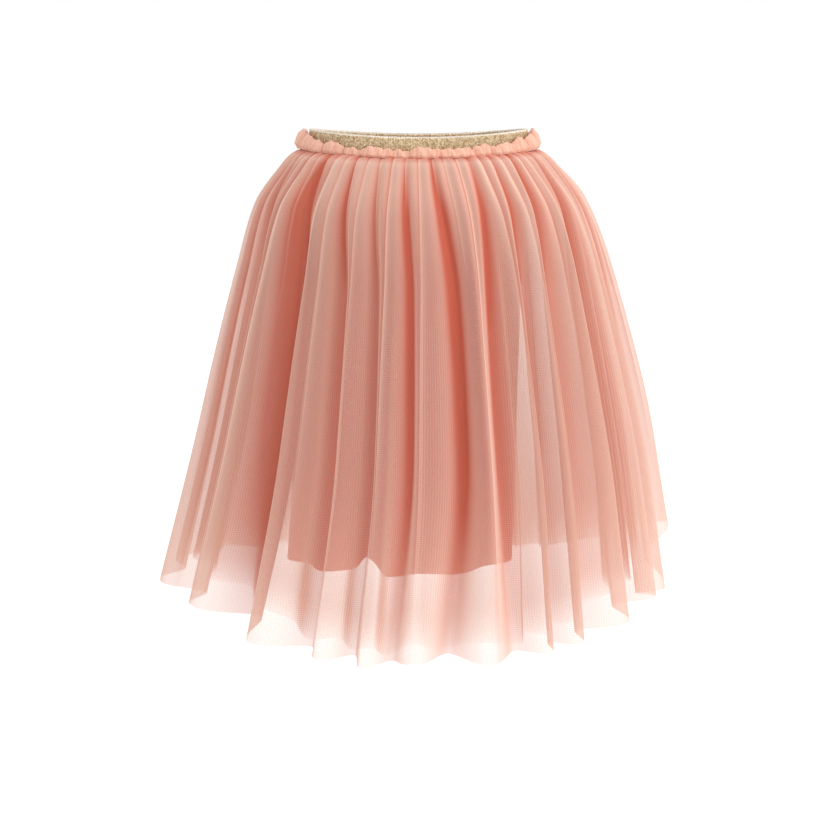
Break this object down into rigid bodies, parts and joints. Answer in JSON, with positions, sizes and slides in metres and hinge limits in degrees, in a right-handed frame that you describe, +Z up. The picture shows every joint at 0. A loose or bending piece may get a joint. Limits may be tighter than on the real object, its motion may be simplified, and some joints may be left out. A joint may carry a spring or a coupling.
{
  "type": "tulle skirt",
  "caption": "Child's gathered tulle skirt with a gold elastic waistband, a rolled header ruffle, sheer layers in deep folds and a straight lining, held in its worn shape.",
  "frame": {"origin": "centre of the waistband ring at half its height at centre front, where the wearer's waist holds the skirt", "axes": "+Z up, the front of the skirt faces -Y, +X is the right of the picture"},
  "size_m": [0.4269, 0.382, 0.3875],
  "materials": {
    "gold_elastic": "lurex elastic with metallic glitter",
    "rolled_tulle": "soft net, many layers",
    "outer_tulle": "sheer matt net",
    "under_tulle": "sheer matt net",
    "lining": "opaque matt jersey"
  },
  "bodies": {
    "root": {"waistband": "gold_elastic", "header_ruffle_front": "rolled_tulle", "header_ruffle_back": "rolled_tulle", "tulle_outer_front": "outer_tulle", "tulle_outer_back": "outer_tulle", "tulle_under_front": "under_tulle", "tulle_under_back": "under_tulle", "lining_front": "lining", "lining_back": "lining"}
  },
  "joints": []
}
